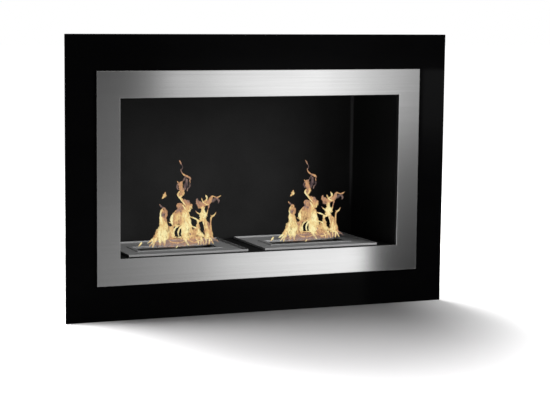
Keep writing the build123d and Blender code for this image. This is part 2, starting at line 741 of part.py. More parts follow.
    # Sliding shutter, open, with the tab that a poker pulls it by turned up at its front.
    with BuildPart() as shutter:
        with BuildSketch(Plane.XY.offset(shutter_foot_z)):
            with Locations((burner_mid_x, shutter_open_y + shutter_depth / 2)):
                Rectangle(slot_length + 2 * shutter_side_lap, shutter_depth)
        extrude(amount=shutter_sheet)
        with BuildSketch(Plane.XY.offset(shutter_top_z)):
            with Locations((burner_mid_x, shutter_open_y + shutter_sheet / 2)):
                Rectangle(tab_width, shutter_sheet)
        extrude(amount=plate_top_z + tab_height - shutter_top_z)
        tab_top = shutter.edges().filter_by(Axis.Y).group_by(Axis.Z)[-1]
        fillet(tab_top, tab_corner_radius)
    save(shutter, f"shutter_{side_name}")
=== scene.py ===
"""Looks of a wall-hung bioethanol fireplace: black glass front, brushed steel trim, a black
hearth and two burners with their flames. All places are in metres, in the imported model's
frame: x to the right, y into the wall, z up, with the origin on the wall bracket."""

import json
import math

import bpy
import numpy as np
from mathutils import Matrix, Vector


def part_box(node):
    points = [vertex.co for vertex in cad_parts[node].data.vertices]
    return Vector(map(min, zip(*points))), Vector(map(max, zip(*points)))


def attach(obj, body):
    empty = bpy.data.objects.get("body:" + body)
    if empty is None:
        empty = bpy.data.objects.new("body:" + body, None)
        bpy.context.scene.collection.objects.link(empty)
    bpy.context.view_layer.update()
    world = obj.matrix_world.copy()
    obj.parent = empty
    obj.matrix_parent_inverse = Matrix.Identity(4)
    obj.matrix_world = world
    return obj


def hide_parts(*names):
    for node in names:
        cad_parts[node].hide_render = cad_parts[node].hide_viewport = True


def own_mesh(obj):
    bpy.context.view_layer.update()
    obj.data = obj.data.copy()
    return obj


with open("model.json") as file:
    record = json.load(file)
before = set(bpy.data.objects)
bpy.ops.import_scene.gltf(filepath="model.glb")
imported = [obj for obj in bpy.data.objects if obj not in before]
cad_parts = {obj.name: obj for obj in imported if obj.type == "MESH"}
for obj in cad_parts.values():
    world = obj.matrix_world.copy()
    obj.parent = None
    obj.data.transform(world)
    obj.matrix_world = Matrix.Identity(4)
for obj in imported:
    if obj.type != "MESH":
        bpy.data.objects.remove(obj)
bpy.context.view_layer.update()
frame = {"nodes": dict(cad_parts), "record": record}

MM = 0.001
SIDES = ("left", "right")

# ---------------------------------------------------------------- camera and studio sizes
PICTURE_WIDTH = 550
FOCAL_PIXELS = 1678.0
SENSOR_WIDTH = 36.0
CAMERA_PLACE = (-1.4007, -3.6799, 0.2760)
CAMERA_YAW = 22.71
CAMERA_PITCH = 6.99
CAMERA_ROLL = 0.61
FLOOR_GAP = 0.0004
FLOOR_SIZE = 40.0
FLOOR_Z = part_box("glass_front")[0].z - FLOOR_GAP
SKY_LEVEL = 0.22
WHITE = (1, 1, 1, 1)


# ================================================================ node trees
class Finish:
    """One material's node tree, with short calls for the nodes that all the finishes use."""

    def __init__(self, name):
        self.material = bpy.data.materials.new(name)
        self.material.use_nodes = True
        self.tree = self.material.node_tree
        self.shader = self.tree.nodes["Principled BSDF"]
        self.place = self.node("ShaderNodeTexCoord").outputs["Object"]

    def node(self, kind, **settings):
        made = self.tree.nodes.new(kind)
        for name, value in settings.items():
            setattr(made, name, value)
        return made

    def put(self, socket, value):
        """Links a node's output to a socket, or sets a plain number or colour on it."""
        if isinstance(value, bpy.types.NodeSocket):
            self.tree.links.new(value, socket)
        else:
            socket.default_value = value

    def shade(self, **sockets):
        """Sets the shader's sockets: base_color stands for Base Color, and so on."""
        names = {socket.name.lower().replace(" ", "_"): socket for socket in self.shader.inputs}
        for name, value in sockets.items():
            self.put(names[name], value)

    def stretched(self, x, y, z):
        """Object coordinates multiplied along each axis: cycles per metre for a noise of scale 1."""
        mapping = self.node("ShaderNodeMapping")
        self.put(mapping.inputs["Vector"], self.place)
        self.put(mapping.inputs["Scale"], (x, y, z))
        return mapping.outputs["Vector"]

    def split_place(self):
        """The X, Y and Z of the object coordinates."""
        parts = self.node("ShaderNodeSeparateXYZ")
        self.put(parts.inputs[0], self.place)
        return parts.outputs

    def noise(self, vector, detail=3.0, roughness=0.5, distortion=0.0):
        made = self.node("ShaderNodeTexNoise")
        self.put(made.inputs["Vector"], vector)
        self.put(made.inputs["Scale"], 1.0)
        self.put(made.inputs["Detail"], detail)
        self.put(made.inputs["Roughness"], roughness)
        self.put(made.inputs["Distortion"], distortion)
        return made.outputs["Fac"]

    def spread(self, value, low, high, to_low, to_high):
        """A value from low to high, carried to the range from to_low to to_high."""
        made = self.node("ShaderNodeMapRange", clamp=True)
        for name, number in zip(
            ("Value", "From Min", "From Max", "To Min", "To Max"), (value, low, high, to_low, to_high)
        ):
            self.put(made.inputs[name], number)
        return made.outputs["Result"]

    def worked_out(self, operation, first, second=0.0):
        made = self.node("ShaderNodeMath", operation=operation)
        self.put(made.inputs[0], first)
        self.put(made.inputs[1], second)
        return made.outputs[0]

    def sum_of(self, first, second):
        return self.worked_out("ADD", first, second)

    def product_of(self, first, second):
        return self.worked_out("MULTIPLY", first, second)

    def larger_of(self, first, second):
        return self.worked_out("MAXIMUM", first, second)

    def distance(self, value, place):
        """How far a value lies from a place, on either side of it."""
        return self.worked_out("ABSOLUTE", self.worked_out("SUBTRACT", value, place))

    def blended(self, share, first, second):
        made = self.node("ShaderNodeMix", data_type="RGBA")
        self.put(made.inputs["Factor"], share)
        self.put(made.inputs[6], first)
        self.put(made.inputs[7], second)
        return made.outputs[2]

    def ramp(self, value, *stops):
        """A colour ramp with (place, colour) stops."""
        made = self.node("ShaderNodeValToRGB")
        band = made.color_ramp
        while len(band.elements) < len(stops):
            band.elements.new(0.5)
        for element, (place, colour) in zip(band.elements, stops):
            element.position = place
            element.color = colour
        self.put(made.inputs["Fac"], value)
        return made.outputs["Color"]

    def bumped(self, height, strength, distance):
        made = self.node("ShaderNodeBump")
        self.put(made.inputs["Height"], height)
        self.put(made.inputs["Strength"], strength)
        self.put(made.inputs["Distance"], distance)
        self.shade(normal=made.outputs["Normal"])

    def along(self, x, y, z):
        """A fixed direction in the object's own axes, for a shader that needs it in the world's."""
        turn = self.node("ShaderNodeVectorTransform", vector_type="VECTOR")
        turn.convert_from = "OBJECT"
        turn.convert_to = "WORLD"
        self.put(turn.inputs["Vector"], (x, y, z))
        return turn.outputs["Vector"]

    def glow(self, colour, strength):
        made = self.node("ShaderNodeEmission")
        self.put(made.inputs["Color"], colour)
        self.put(made.inputs["Strength"], strength)
        return made

    def end_in(self, *shaders):
        """Makes the material one shader, or two added up, in place of its first one."""
        last = shaders[0]
        if len(shaders) > 1:
            last = self.node("ShaderNodeAddShader")
            for socket, shader in zip(last.inputs, shaders):
                self.put(socket, shader.outputs[0])
        self.put(self.tree.nodes["Material Output"].inputs["Surface"], last.outputs[0])


def grey(level):
    return (level, level, level, 1.0)


# ================================================================ finishes
def black_glass():
    """Polished glass, black at the back: hardly any colour, and a gloss with faint wiping marks."""
    finish = Finish("black_glass")
    marks = finish.noise(finish.stretched(9, 9, 26), 4.0, 0.6, 0.6)
    finish.shade(
        base_color=finish.blended(marks, (0.0007, 0.0007, 0.0008, 1), (0.0012, 0.0012, 0.0013, 1)),
        roughness=finish.spread(marks, 0.35, 0.75, 0.03, 0.09),
        specular_ior_level=0.02,
    )
    return finish


def brushed_steel(name, dark, light, smooth, rough, anisotropy, across, grain, metal=1.0, relief=0.04):
    """Steel brushed along x: fine and coarse streaks, long in x and narrow along the two
    other axes, change its colour, roughness and height, and gloss spreads across them. grain is
    the fine streaks to a metre."""
    finish = Finish(name)
    fine = finish.noise(finish.stretched(5, grain, grain), 2.0, 0.6)
    coarse = finish.noise(finish.stretched(2.2, grain / 7, grain / 7), 3.0, 0.55)
    cloud = finish.noise(finish.stretched(7, 7, 7), 3.0, 0.5)
    streaks = finish.sum_of(finish.sum_of(fine, coarse), cloud)
    share = finish.spread(streaks, 1.1, 1.9, 0.0, 1.0)
    finish.shade(
        base_color=finish.blended(share, grey(dark), grey(light)),
        metallic=metal,
        roughness=finish.spread(streaks, 1.1, 1.9, rough, smooth),
        anisotropic=anisotropy,
        tangent=finish.along(*across),
    )
    finish.bumped(finish.sum_of(fine, coarse), relief, 0.0001)
    return finish


def sheet_steel():
    """Plain rolled stainless sheet, with a soft mottle and a straw tint of heat."""
    finish = Finish("tank_steel")
    rolled = finish.noise(finish.stretched(14, 240, 240), 3.0, 0.5)
    heat = finish.noise(finish.stretched(9, 9, 9), 3.0, 0.6)
    plain = finish.blended(rolled, grey(0.34), grey(0.50))
    finish.shade(
        base_color=finish.blended(finish.spread(heat, 0.45, 0.75, 0, 0.5), plain, (0.42, 0.33, 0.20, 1)),
        metallic=1.0,
        roughness=finish.spread(rolled, 0.3, 0.7, 0.26, 0.42),
    )
    finish.bumped(rolled, 0.1, 0.0002)
    return finish


def ceramic_wool():
    """White ceramic wool: tangled fibres, matte, slightly yellowed by the fuel."""
    finish = Finish("ceramic_fibre")
    strands = finish.noise(finish.stretched(420, 420, 420), 5.0, 0.75, 2.5)
    stain = finish.noise(finish.stretched(24, 24, 24), 3.0, 0.5)
    white = finish.blended(strands, (0.58, 0.56, 0.52, 1), (0.86, 0.85, 0.82, 1))
    finish.shade(
        base_color=finish.blended(finish.spread(stain, 0.5, 0.8, 0, 0.6), white, (0.60, 0.52, 0.40, 1)),
        roughness=0.95,
        specular_ior_level=0.1,
        sheen_weight=0.25,
    )
    finish.bumped(strands, 0.8, 0.0012)
    return finish


def black_paint(name, low, high, grain, bump, smooth, rough, specular):
    """Black paint or powder coat on steel: a fine orange peel, with slow drifts of colour."""
    finish = Finish(name)
    peel = finish.noise(finish.stretched(grain, grain, grain), 2.0, 0.5)
    drift = finish.noise(finish.stretched(6, 6, 6), 4.0, 0.6)
    share = finish.sum_of(finish.spread(drift, 0.3, 0.7, 0, 0.7), finish.spread(peel, 0.3, 0.7, 0, 0.3))
    finish.shade(
        base_color=finish.blended(share, grey(low), grey(high)),
        roughness=finish.spread(drift, 0.3, 0.7, smooth, rough),
        specular_ior_level=specular,
    )
    finish.bumped(peel, bump, 0.0004)
    return finish


FOLD_HIGHLIGHT_CORE, FOLD_HIGHLIGHT_EDGE = 0.002, 0.007  # distances from a fold: painted highlight in full up to one, none past the other
FOLD_HIGHLIGHT_START, FOLD_HIGHLIGHT_FULL = 0.19, 0.28  # heights over the floor between which the painted highlight sets in
# grey of the painted highlight on the folds
FOLD_HIGHLIGHT_LEVEL = 0.075


def hearth_paint():
    """Heat-proof black paint, with a painted highlight that makes the upright folds at the hearth's back
    corners lighter.
    """
    finish = black_paint(
        "hearth_black", low=0.008, high=0.019, grain=500, bump=0.12, smooth=0.45, rough=0.60, specular=0.08
    )
    place = finish.split_place()
    wall_low, wall_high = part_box("liner_back")
    sideways = finish.distance(finish.distance(place["X"], 0.0), wall_high.x)
    inwards = finish.distance(place["Y"], wall_low.y)
    # painted highlight: a lighter line along each back fold, absent near the floor and full higher up
    fold_highlight = finish.spread(finish.larger_of(sideways, inwards), FOLD_HIGHLIGHT_CORE, FOLD_HIGHLIGHT_EDGE, 1, 0)
    fading = finish.spread(place["Z"], FLOOR_Z + FOLD_HIGHLIGHT_START, FLOOR_Z + FOLD_HIGHLIGHT_FULL, 0, 1)
    fold_highlight = finish.product_of(fold_highlight, fading)
    paint = finish.shader.inputs["Base Color"].links[0].from_socket
    finish.shade(base_color=finish.blended(fold_highlight, paint, grey(FOLD_HIGHLIGHT_LEVEL)))
    return finish


def zinc_plate():
    """Bright zinc with its spangle: flat crystals a few millimetres wide, each its own grey."""
    finish = Finish("zinc_plate")
    crystals = finish.node("ShaderNodeTexVoronoi")
    finish.put(crystals.inputs["Vector"], finish.place)
    finish.put(crystals.inputs["Scale"], 160.0)
    parts = finish.node("ShaderNodeSeparateColor")
    finish.put(parts.inputs[0], crystals.outputs["Color"])
    tone, gloss = parts.outputs[0], parts.outputs[1]
    cloud = finish.noise(finish.stretched(30, 30, 30), 3.0, 0.6)
    share = finish.sum_of(finish.product_of(tone, 0.6), finish.product_of(cloud, 0.4))
    finish.shade(
        base_color=finish.blended(share, (0.40, 0.42, 0.45, 1), (0.66, 0.68, 0.70, 1)),
        metallic=1.0,
        roughness=finish.spread(gloss, 0.0, 1.0, 0.28, 0.5),
    )
    finish.bumped(tone, 0.08, 0.0003)
    return finish


# The flame's colours from its coolest to its hottest: (warmth, colour).
FLAME_COLOURS = (
    (0.00, (0.085, 0.058, 0.066, 1)),
    (0.22, (0.310, 0.205, 0.175, 1)),
    (0.48, (0.610, 0.320, 0.160, 1)),
    (0.74, (0.860, 0.610, 0.260, 1)),
    (1.00, (1.000, 0.890, 0.465, 1)),
)


def burning_vapour():
    """Flame: the warmth written on the mesh, stirred by two stretched noises, picks the colour,
    and the core written on it makes the middle of a tongue solid and its edges clear."""
    finish = Finish("flame")
    heat = finish.node("ShaderNodeAttribute", attribute_name="warmth").outputs["Fac"]
    core = finish.node("ShaderNodeAttribute", attribute_name="core").outputs["Fac"]
    licks = finish.noise(finish.stretched(110, 60, 55), 3.0, 0.6, 0.8)
    curls = finish.noise(finish.stretched(250, 120, 80), 2.0, 0.5, 1.2)
    folds = finish.sum_of(
        finish.spread(licks, 0.32, 0.68, -0.30, 0.20), finish.spread(curls, 0.3, 0.6, -0.12, 0.08)
    )
    warmth = finish.sum_of(heat, finish.product_of(folds, finish.spread(heat, 0.2, 0.8, 0.5, 1)))
    finish.shade(
        base_color=(0, 0, 0, 1),
        specular_ior_level=0.0,
        roughness=1.0,
        emission_color=finish.ramp(warmth, *FLAME_COLOURS),
        emission_strength=1.0,
        alpha=finish.product_of(core, finish.spread(curls, 0.32, 0.50, 0.25, 1.0)),
    )
    return finish


FINISHES = {
    "black_glass": black_glass(),
    "brushed_trim_steel": brushed_steel(
        "brushed_trim_steel", dark=0.65, light=0.70, smooth=0.19, rough=0.24, anisotropy=0.80,
        across=(0, 0, 1), grain=1300, relief=0.012,
    ),
    "brushed_burner_steel": brushed_steel(
        "brushed_burner_steel", dark=0.44, light=0.56, smooth=0.40, rough=0.55, anisotropy=0.4,
        across=(0, 1, 0), grain=500, metal=0.45,
    ),
    "tank_steel": sheet_steel(),
    "ceramic_fibre": ceramic_wool(),
    "hearth_black": hearth_paint(),
    "casing_black": black_paint(
        "casing_black", low=0.018, high=0.032, grain=900, bump=0.25, smooth=0.50, rough=0.66, specular=0.35
    ),
    "zinc_plate": zinc_plate(),
}
FLAME = burning_vapour()

for part in frame["record"]["subparts"]:
    node = frame["nodes"][part["node"]]
    material = FINISHES[part["material_slot"]].material
    if not node.material_slots:
        node.data.materials.append(material)
    for place in node.material_slots:
        place.material = material


# ================================================================ meshes from grids
def capped_tube(rings):
    """Points and faces of a closed tube: the rings, rows by columns by 3, joined ring to ring,
    and each end closed by a fan of triangles to the middle of its ring. The faces point outwards
    where the columns turn anticlockwise as seen from the last ring."""
    rows, columns = rings.shape[:2]
    index = np.arange(rows * columns).reshape(rows, columns)
    turned = np.roll(index, -1, axis=1)
    sides = np.stack([index[:-1], turned[:-1], turned[1:], index[1:]], axis=-1).reshape(-1, 4)
    first, last = np.full(columns, rows * columns), np.full(columns, rows * columns + 1)
    ends = np.concatenate([
        np.stack([first, turned[0], index[0]], axis=-1),
        np.stack([last, index[-1], turned[-1]], axis=-1),
    ])
    points = np.concatenate([rings.reshape(-1, 3), rings[:1].mean(axis=1), rings[-1:].mean(axis=1)])
    return points, sides, ends


def smooth_mesh(name, points, faces, finish):
    mesh = bpy.data.meshes.new(name)
    mesh.from_pydata(points.tolist(), [], faces)
    mesh.update()
    mesh.materials.append(finish.material)
    mesh.shade_smooth()
    made = bpy.data.objects.new(name, mesh)
    bpy.context.scene.collection.objects.link(made)
    return made


def smooth_path(points, count):
    """A cubic through given points: on each span the Hermite curve whose slope at a
    point is half the step between that point's two neighbours. Returns count rows."""
    points = np.asarray(points, float)
    padded = np.concatenate([2 * points[:1] - points[1:2], points, 2 * points[-1:] - points[-2:-1]])
    place = np.linspace(0, len(points) - 1, count)
    span = np.minimum(place.astype(int), len(points) - 2)
    t = (place - span)[:, None]
    start, end = padded[span + 1], padded[span + 2]
    leave = (end - padded[span]) / 2
    arrive = (padded[span + 3] - start) / 2
    return (
        (2 * t**3 - 3 * t**2 + 1) * start
        + (t**3 - 2 * t**2 + t) * leave
        + (3 * t**2 - 2 * t**3) * end
        + (t**3 - t**2) * arrive
    )


TONGUE_STEPS = 40
TONGUE_SIDES = 14
TAPER = 0.12  # share of a tongue's length over which each end narrows
TIP = 0.002  # added to that share, so that no ring shrinks to a point
LEAST_HALF_WIDTH = 0.15
FRINGE = 1.08  # how much wider a tongue is than its solid part
SLOW_SWELL, SLOW_RATE = 0.16, 15
FAST_SWELL, FAST_RATE = 0.12, 34
EDGE_POWER = 1.6
EDGE_SOFTNESS = 3.0
SIGHT_LINE = np.array([0.39, -0.157])  # x and z gained per depth along the line of sight


def tongue(points, depth, flatness, clear):
    """One lick of flame: a lens-shaped section carried along a path in the x-z plane. The
    section is an ellipse, half-width w across the path and flatness times w in y. w shrinks
    almost to nothing at both ends, as a square root, and swells on its way, by two sines. heat
    follows the path, and core is a power of the sine of the angle round the section, a higher
    one where clear is low, times clear. A tongue that stands in front of or behind the slot's
    middle is moved along the line of sight, so that the fire keeps its outline."""
    path = smooth_path(points, TONGUE_STEPS)
    path[:, :2] += depth * SIGHT_LINE
    along = np.gradient(path[:, :2], axis=0)
    along /= np.maximum(np.linalg.norm(along, axis=1, keepdims=True), 1e-9)
    across = np.stack([-along[:, 1], along[:, 0]], axis=1)
    share = np.linspace(0, 1, TONGUE_STEPS)
    taper = np.minimum(1, np.sqrt((np.minimum(share, 1 - share) + TIP) / TAPER))
    swell = (
        1
        + SLOW_SWELL * np.sin(SLOW_RATE * share + points[0][0])
        + FAST_SWELL * np.sin(FAST_RATE * share + points[-1][1])
    )
    half = FRINGE * np.maximum(path[:, 2], LEAST_HALF_WIDTH) * taper * swell
    turn = np.linspace(0, 2 * math.pi, TONGUE_SIDES, endpoint=False)
    out = half[:, None] * np.cos(turn)
    x = path[:, 0, None] + out * across[:, 0, None]
    z = path[:, 1, None] + out * across[:, 1, None]
    y = depth - flatness * half[:, None] * np.sin(turn)
    heat = np.append(np.broadcast_to(path[:, 3, None], out.shape), path[[0, -1], 3])
    solid = np.abs(np.sin(turn)) ** (EDGE_POWER + EDGE_SOFTNESS * (1 - clear)) * clear
    core = np.append(np.broadcast_to(solid, out.shape), [0, 0])
    return np.stack([x, y, z], axis=-1), heat, core


# Tongues of one fire in millimetres from the middle of the slot and the plate's top:
# (depth, flatness, clearness, [(x, z, half-width, heat), ...]). Depth grows to the back. Their
# paths, widths and heats were given one by one after the photo's fire.
FIRE = (
    # left tongue: body, left rim, right side, shoulder, root of the shoulder
    (0, 0.9, 0.95, [
        (-27, 12, 7, 0.85), (-27, 24, 9, 1.0), (-27, 36, 9, 0.88), (-28, 48, 8, 0.85),
        (-30, 60, 6, 0.8), (-32, 70, 3.5, 0.75),
    ]),
    (-6, 0.7, 1.0, [
        (-34, 52, 2.5, 0.8), (-34, 62, 2.4, 0.95), (-34, 72, 2.2, 1.0), (-33, 80, 2, 0.85),
        (-29, 87, 2, 0.65), (-26, 90, 1, 0.4),
    ]),
    (4, 0.8, 0.9, [
        (-21, 48, 3.5, 0.7), (-23, 58, 4, 0.65), (-24, 66, 3.5, 0.55), (-21, 74, 3.2, 0.5),
        (-22, 82, 3, 0.55), (-25, 88, 2.5, 0.5), (-29, 91, 1.2, 0.4),
    ]),
    (5, 0.7, 0.9, [
        (-27, 60, 3, 0.7), (-28.6, 68, 3.4, 0.45), (-28.4, 73.6, 3.4, 0.16), (-27.6, 79, 4, 0.45),
        (-28, 85, 3, 0.5),
    ]),
    (2, 0.5, 0.7, [(-26, 88, 2.2, 0.15), (-30, 91, 2.2, 0.12), (-34, 94, 2, 0.3), (-37, 98, 1, 0.5)]),
    (2, 0.8, 0.9, [
        (-44, 16, 4, 0.6), (-43, 26, 5, 0.6), (-40, 36, 5.5, 0.65), (-36, 44, 5, 0.8),
        (-32, 50, 3, 0.9),
    ]),
    (-8, 0.7, 0.95, [(-36, 14, 3, 0.75), (-37, 24, 3.5, 0.9), (-37, 34, 3.5, 0.95), (-35, 44, 3, 0.9)]),
    (6, 0.7, 0.85, [
        (-16, 16, 4, 0.7), (-16, 26, 4.5, 0.8), (-17, 36, 4.5, 0.75), (-19, 46, 3.5, 0.7),
        (-18, 54, 2, 0.5),
    ]),
    (8, 0.7, 0.8, [(-12, 20, 3, 0.5), (-10, 32, 3, 0.45), (-12, 42, 3, 0.45), (-15, 49, 2, 0.4)]),
    (-10, 0.8, 0.95, [
        (-40, 34, 3, 0.7), (-46, 27, 3.4, 0.65), (-51, 21, 3, 0.8), (-57, 17, 2.2, 0.9),
        (-65, 12, 0.8, 0.95),
    ]),
    (-14, 0.8, 0.95, [(-43, 24, 3, 0.9), (-48, 17, 2.6, 0.95), (-54, 12, 1.8, 0.9), (-61, 4, 0.8, 0.7)]),
    (-18, 0.8, 0.95, [(-44, 20, 2.6, 0.9), (-48, 13, 2.4, 0.95), (-51, 7, 2, 0.9), (-52, 2, 0.9, 0.7)]),
    (-18, 0.8, 0.95, [
        (-34, 20, 3.4, 0.95), (-34, 12, 2.6, 0.9), (-34, 8, 2.2, 0.75), (-34.5, 5, 1.2, 0.5),
    ]),
    (-18, 0.8, 0.95, [(-24, 22, 3.6, 0.95), (-23.5, 13, 2.6, 0.9), (-24, 8, 2, 0.75), (-25, 4, 1.2, 0.5)]),
    # the loose flake above it
    (0, 0.6, 1.0, [
        (-31.5, 109.5, 0.5, 0.5), (-28.5, 112.5, 2.2, 0.65), (-25.4, 115.8, 4.2, 0.75),
        (-24, 119, 3.6, 0.78), (-23.6, 122, 1.8, 0.7), (-23.4, 125, 0.6, 0.55),
    ]),
    # middle-left lobe: body, left rim, top, spur
    (6, 0.8, 0.9, [
        (-2, 47, 5, 0.65), (-0.6, 54, 8.4, 0.64), (2.4, 62.6, 10.6, 0.62), (5, 71, 9.4, 0.6),
        (7.6, 79, 6, 0.45), (9, 85, 3, 0.25),
    ]),
    (8, 0.8, 0.85, [
        (14, 48, 4, 0.6), (14, 58, 5, 0.45), (15, 68, 4.5, 0.4), (15, 76, 4, 0.45), (14, 82, 2.5, 0.2),
    ]),
    (-2, 0.7, 1.0, [
        (-4.6, 49, 1.4, 0.7), (-6.6, 55, 2.4, 0.9), (-8.2, 61, 3.2, 1.0), (-7.4, 67.5, 2.8, 1.0),
        (-4.4, 73.5, 1.8, 0.9), (-1, 78, 1.4, 0.7), (4, 82, 1.4, 0.4), (9, 84, 0.8, 0.2),
    ]),
    (4, 0.6, 0.8, [(4, 80, 2, 0.3), (8, 83, 3, 0.2), (13, 82, 3, 0.12), (17, 79, 1.5, 0.2)]),
    (0, 0.6, 0.85, [(-16, 57.5, 0.6, 0.6), (-12, 56, 1.1, 0.8), (-8, 54.6, 1.2, 0.8), (-5, 52, 1, 0.7)]),
    # round the two dark arcs below it
    (2, 0.8, 0.95, [
        (-3, 50, 4, 0.65), (-7, 43, 4.5, 0.6), (-7, 34, 4.5, 0.75), (-5, 26, 4, 0.85), (-5, 19, 3, 0.6),
    ]),
    (-4, 0.7, 1.0, [
        (8, 46, 1.6, 0.85), (2, 43.5, 1.8, 0.9), (-1.6, 37, 1.6, 0.95), (-2, 30, 1.5, 0.95),
        (0, 24.5, 1.3, 0.8),
    ]),
    (-4, 0.7, 1.0, [
        (18, 46, 2.6, 0.9), (12.6, 43, 2.2, 0.95), (9.3, 37, 1.9, 1.0), (8.2, 30.5, 1.7, 1.0),
        (10.2, 23.5, 1.4, 0.8),
    ]),
    (4, 0.7, 0.9, [(-2, 48, 2, 0.6), (6, 48, 2.2, 0.7), (13, 48, 2.4, 0.8)]),
    (0, 0.6, 0.9, [(-12, 20, 2, 0.5), (-2, 22.4, 1.6, 0.75), (8, 22, 1.5, 0.75), (18, 22, 2, 0.8)]),
    # central tongue: core, left and right sides
    (0, 0.9, 1.0, [
        (27, 14, 6, 0.9), (26, 24, 8.5, 1.0), (26, 36, 9, 0.95), (28, 48, 9.5, 0.92),
        (28.5, 58, 8.5, 1.0), (27, 68, 7, 0.85), (26, 77, 5.5, 0.8), (25, 85, 3, 0.75),
    ]),
    (4, 0.8, 0.95, [
        (19, 20, 4, 0.9), (20, 32, 4, 0.85), (19, 44, 4.5, 0.8), (19, 56, 4.5, 0.65), (19, 66, 5, 0.65),
        (21, 76, 4.5, 0.7), (21, 84, 3, 0.6),
    ]),
    (4, 0.8, 0.95, [
        (37, 18, 4, 0.7), (38, 30, 5, 0.65), (38, 41, 4.5, 0.75), (36, 52, 3.5, 0.95),
        (34.5, 62, 3, 0.9), (33, 71, 2.8, 0.8), (30, 80, 2, 0.7),
    ]),
    (-6, 0.7, 1.0, [
        (35, 46, 2, 0.9), (40, 45.5, 1.6, 0.95), (45, 43.5, 1.6, 0.95), (50, 41.5, 1.4, 0.9),
        (54, 38, 1, 0.8),
    ]),
    # its top: left shoulder, neck, right shoulder
    (4, 0.8, 0.9, [(12, 80, 3.4, 0.35), (9.6, 88, 4.6, 0.42), (9, 94, 3.8, 0.4), (7, 98.6, 1.6, 0.35)]),
    (5, 0.8, 0.85, [(20, 76, 4, 0.6), (17, 84, 4.6, 0.45), (14, 91, 4.4, 0.35), (10, 96, 2.4, 0.3)]),
    (-2, 0.6, 0.9, [(6, 89, 1.2, 0.4), (5.3, 93, 1.7, 0.6), (5.6, 97, 1, 0.5)]),
    (2, 0.8, 0.9, [
        (9, 98, 1.5, 0.35), (14, 96, 2.6, 0.42), (19, 91, 3.2, 0.45), (23, 85, 3.2, 0.6),
        (25, 79, 2, 0.7),
    ]),
    (-4, 0.7, 1.0, [(27, 80, 1.6, 0.9), (24.5, 85.5, 1.6, 0.95), (21.5, 90, 1.3, 0.9), (18, 94.5, 1, 0.7)]),
    (0, 0.8, 0.95, [
        (31, 80, 4.5, 0.7), (30, 87, 6, 0.6), (27.4, 94, 6, 0.52), (23, 100, 4.6, 0.5),
        (17.6, 105.6, 2.8, 0.6), (13, 110, 1.6, 0.75),
    ]),
    (-5, 0.6, 1.0, [
        (30, 88, 0.8, 0.7), (25, 94, 1.0, 0.85), (20, 99.5, 1.3, 0.9), (15.2, 105, 1.5, 0.95),
        (11.4, 110, 1.8, 0.95), (8.4, 114.5, 1.9, 0.9), (7.6, 118.5, 2.2, 0.8), (10, 122.6, 2.2, 0.65),
        (13.4, 126, 1.6, 0.55),
    ]),
    (3, 0.8, 0.9, [(32, 78, 3, 0.8), (36, 84, 3.8, 0.72), (38.6, 90, 3.6, 0.62), (40.6, 95.4, 2, 0.45)]),
    (5, 0.7, 0.85, [(34, 86, 4, 0.45), (34, 92, 5, 0.42), (32, 98.6, 4.4, 0.32), (28, 104.6, 2.8, 0.25)]),
    (-2, 0.6, 0.8, [(28, 98, 2.5, 0.5), (25, 103, 2.6, 0.5), (23, 107, 1.2, 0.3)]),
    # curl and orange body above the neck
    (3, 0.7, 0.9, [(10, 113, 2, 0.45), (13, 118, 3.4, 0.42), (15, 123, 3, 0.45)]),
    (0, 0.7, 0.95, [
        (12, 110, 1.6, 0.7), (16, 114, 2.4, 0.65), (19.6, 118.5, 2.8, 0.6), (20.6, 124, 2.6, 0.52),
        (19, 129, 2, 0.48),
    ]),
    (2, 0.8, 0.95, [
        (17, 122, 2.6, 0.5), (15.5, 129, 4.6, 0.48), (13.4, 136, 5.2, 0.5), (14, 142, 4.6, 0.45),
        (18, 147, 2.2, 0.35),
    ]),
    (-2, 0.6, 0.9, [(9, 141, 1.4, 0.4), (7.2, 145, 1.3, 0.6), (5.4, 147.6, 0.6, 0.6)]),
    (4, 0.6, 0.8, [(8, 128, 1.5, 0.2), (5.4, 133, 2, 0.12), (5, 138, 1.6, 0.15), (7, 142, 1, 0.2)]),
    (4, 0.6, 0.75, [
        (22, 126, 2, 0.1), (25, 134, 4.2, 0.04), (27.5, 142, 4.2, 0.04), (28, 149, 3, 0.1),
        (27, 153, 1.5, 0.2),
    ]),
    (0, 0.5, 0.35, [(33, 130, 1.5, 0.15), (36, 137, 2.6, 0.12), (35, 143, 1.5, 0.1)]),
    (0, 0.6, 0.75, [(29.4, 123.5, 0.6, 0.2), (30.2, 128, 1.6, 0.3), (32, 132.6, 0.8, 0.25)]),
    (-2, 0.6, 0.95, [
        (39, 150, 1, 0.4), (36.4, 153.4, 2, 0.5), (32, 155.8, 2.6, 0.52), (27.6, 158, 2.2, 0.5),
        (23, 160.2, 1.7, 0.5), (18.8, 163.4, 1.5, 0.5), (16, 167, 1.3, 0.4), (14.3, 171.6, 1, 0.3),
        (15, 175, 0.8, 0.2),
    ]),
    (0, 0.6, 0.8, [(37.4, 152, 1.4, 0.4), (35.8, 148.4, 1.3, 0.4), (36.8, 142.4, 0.9, 0.45)]),
    (0, 0.6, 0.55, [(26, 157, 2, 0.3), (22.6, 151.5, 2.4, 0.2), (19, 147, 2, 0.3)]),
    (0, 0.5, 0.6, [(15, 172, 0.8, 0.15), (18, 176.4, 1.1, 0.1), (17.4, 181, 1, 0.12), (15, 185, 0.8, 0.2)]),
    (0, 0.6, 0.85, [
        (15.6, 183, 0.8, 0.2), (13.8, 187, 1.5, 0.35), (12, 190.6, 1.6, 0.45), (10, 194, 0.7, 0.4),
    ]),
    # base between the central tongue and the right fire
    (4, 0.8, 0.9, [
        (36, 22, 5, 0.6), (45, 27, 6.5, 0.62), (52, 30, 6, 0.65), (60, 27, 5.5, 0.8), (68, 23, 4, 0.85),
        (75, 20, 3, 0.8),
    ]),
